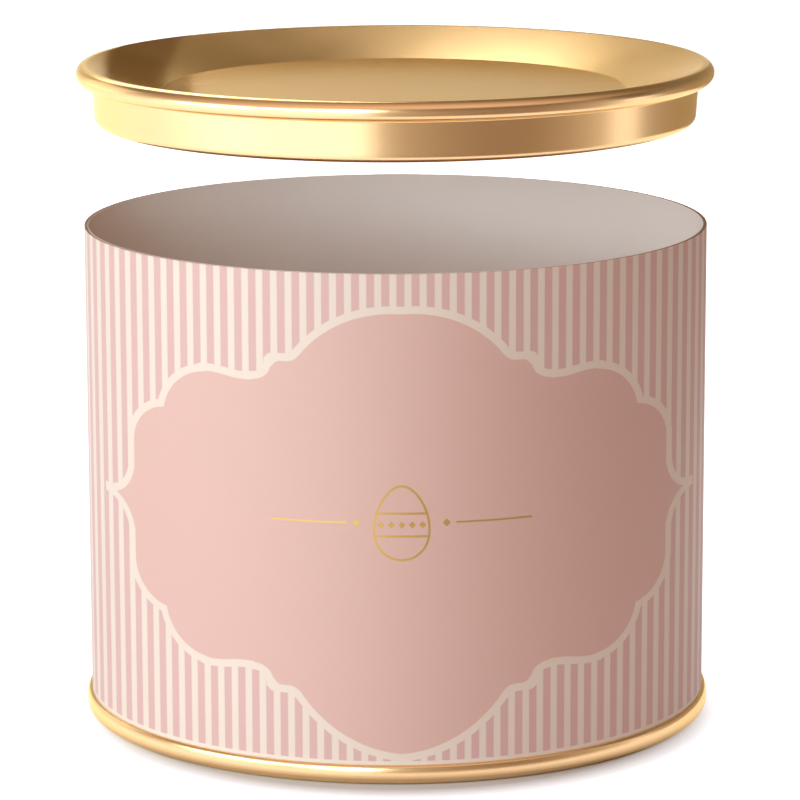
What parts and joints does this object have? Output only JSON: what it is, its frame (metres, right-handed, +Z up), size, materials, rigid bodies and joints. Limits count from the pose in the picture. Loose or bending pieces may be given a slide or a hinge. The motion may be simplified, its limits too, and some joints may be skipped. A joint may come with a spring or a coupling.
{
  "type": "round lidded gift tin",
  "caption": "Round paperboard gift can with a striped printed wrap, a seamed gold metal base and a loose gold plug lid that lifts off to show the pale lined inside.",
  "frame": {"origin": "on the floor, at the middle of the base seam", "axes": "+Z up along the can's axis, -Y towards the front of the printed panel, +X to its right"},
  "size_m": [0.1294, 0.1294, 0.1334],
  "materials": {
    "gold_lacquer": "satin gold lacquer on tinplate",
    "printed_paper": "silk-coated printed paper, rose and cream",
    "grey_board": "uncoated recycled board",
    "liner_paper": "matt off-white lining paper",
    "seam_compound": "matt sealing compound"
  },
  "bodies": {
    "can": {"printed_wrap": "printed_paper", "outer_board_ply": "grey_board", "inner_board_ply": "grey_board", "inner_liner": "liner_paper", "base_end": "gold_lacquer", "seam_compound": "seam_compound"},
    "lid": {"lid": "gold_lacquer"}
  },
  "joints": [
    {"name": "lid_lift", "type": "slide", "parent": "can", "child": "lid", "axis": [0, 0, 1], "range_m": [-0.0289, 0.06]}
  ]
}
